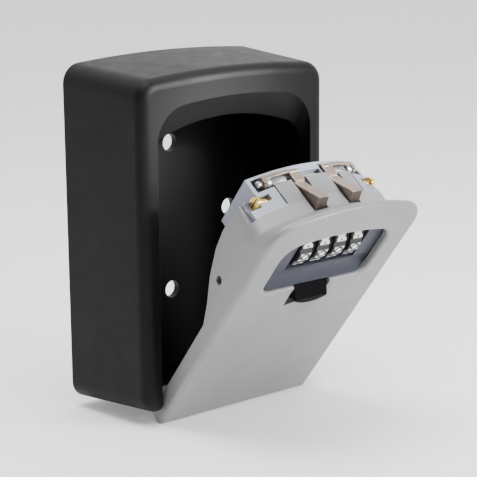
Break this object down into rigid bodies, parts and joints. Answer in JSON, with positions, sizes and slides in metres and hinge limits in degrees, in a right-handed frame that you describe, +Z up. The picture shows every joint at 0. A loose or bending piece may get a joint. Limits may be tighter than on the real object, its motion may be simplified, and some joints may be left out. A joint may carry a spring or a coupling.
{
  "type": "key lock box",
  "caption": "Wall-mounted key lock box with a drop-down door carrying a combination lock, shown open on its stop.",
  "frame": {"origin": "centre of the case's flat back face, which lies against the wall", "axes": "+Y into the wall, +Z up, door faces -Y; stored with the door open on its stop"},
  "size_m": [0.0864, 0.0998, 0.1224],
  "materials": {
    "case_black": "fine-grained black powder coat, satin",
    "door_silver": "matt silver-grey metallic paint",
    "bezel_grey": "slate-grey satin paint",
    "housing_zinc": "die-cast zinc, painted light grey in front, bare behind",
    "steel": "bright zinc-plated steel",
    "latch_nickel": "warm nickel plating, edges worn bright",
    "brass": "turned brass",
    "spring_steel": "drawn spring wire",
    "dial_black": "black moulded dial with white figures",
    "button_black": "black moulded plastic, satin"
  },
  "bodies": {
    "case": {"case_shell": "case_black", "hinge_pin": "steel"},
    "door": {"door_plate": "door_silver", "dial_bezel": "bezel_grey", "lock_housing": "housing_zinc", "lock_screws": "brass", "rear_cover": "housing_zinc", "opener_cover": "housing_zinc", "cover_screws": "steel", "reset_guide": "steel", "dial_shaft": "steel", "dial_spacers": "steel", "detent_spring": "spring_steel", "latch_pin": "steel", "latch_springs": "spring_steel", "return_springs": "spring_steel", "spring_seat": "steel"},
    "opener": {"open_button": "button_black", "button_screw": "steel", "slider_plate": "steel", "fence_comb": "steel"},
    "latch_left": {"latch_left": "latch_nickel"},
    "latch_right": {"latch_right": "latch_nickel"},
    "reset_lever": {"reset_lever": "brass"},
    "dial_1": {"dial_1": "dial_black", "cam_sleeve_1": "brass"},
    "dial_2": {"dial_2": "dial_black", "cam_sleeve_2": "brass"},
    "dial_3": {"dial_3": "dial_black", "cam_sleeve_3": "brass"},
    "dial_4": {"dial_4": "dial_black", "cam_sleeve_4": "brass"}
  },
  "joints": [
    {"name": "door_hinge", "type": "hinge", "parent": "case", "child": "door", "pos_m": [0, -0.0312, -0.0549], "axis": [1, 0, 0], "range_deg": [-38.1, 0]},
    {"name": "opener_slide", "type": "slide", "parent": "door", "child": "opener", "axis": [0, 0.617, -0.7869], "range_m": [0, 0.00225], "stiffness_N_per_m": 800, "springref_m": -0.004, "deforming": ["return_springs"]},
    {"name": "latch_left_pivot", "type": "hinge", "parent": "door", "child": "latch_left", "pos_m": [0, -0.07491, 0.02418], "axis": [1, 0, 0], "range_deg": [0, 13.01]},
    {"name": "latch_right_pivot", "type": "hinge", "parent": "door", "child": "latch_right", "pos_m": [0, -0.07491, 0.02418], "axis": [1, 0, 0], "range_deg": [0, 13.01]},
    {"name": "reset_lever_slide", "type": "slide", "parent": "door", "child": "reset_lever", "axis": [1, 0, 0], "range_m": [0, 0.006]},
    {"name": "dial_1_spin", "type": "hinge", "parent": "door", "child": "dial_1", "pos_m": [0, -0.07922, 0.00618], "axis": [1, 0, 0], "continuous": true},
    {"name": "dial_2_spin", "type": "hinge", "parent": "door", "child": "dial_2", "pos_m": [0, -0.07922, 0.00618], "axis": [1, 0, 0], "continuous": true},
    {"name": "dial_3_spin", "type": "hinge", "parent": "door", "child": "dial_3", "pos_m": [0, -0.07922, 0.00618], "axis": [1, 0, 0], "continuous": true},
    {"name": "dial_4_spin", "type": "hinge", "parent": "door", "child": "dial_4", "pos_m": [0, -0.07922, 0.00618], "axis": [1, 0, 0], "continuous": true}
  ],
  "couplings": [
    {"joint": "latch_left_pivot", "follows": "opener_slide", "rad_per_m": 100.84},
    {"joint": "latch_right_pivot", "follows": "opener_slide", "rad_per_m": 100.84}
  ]
}
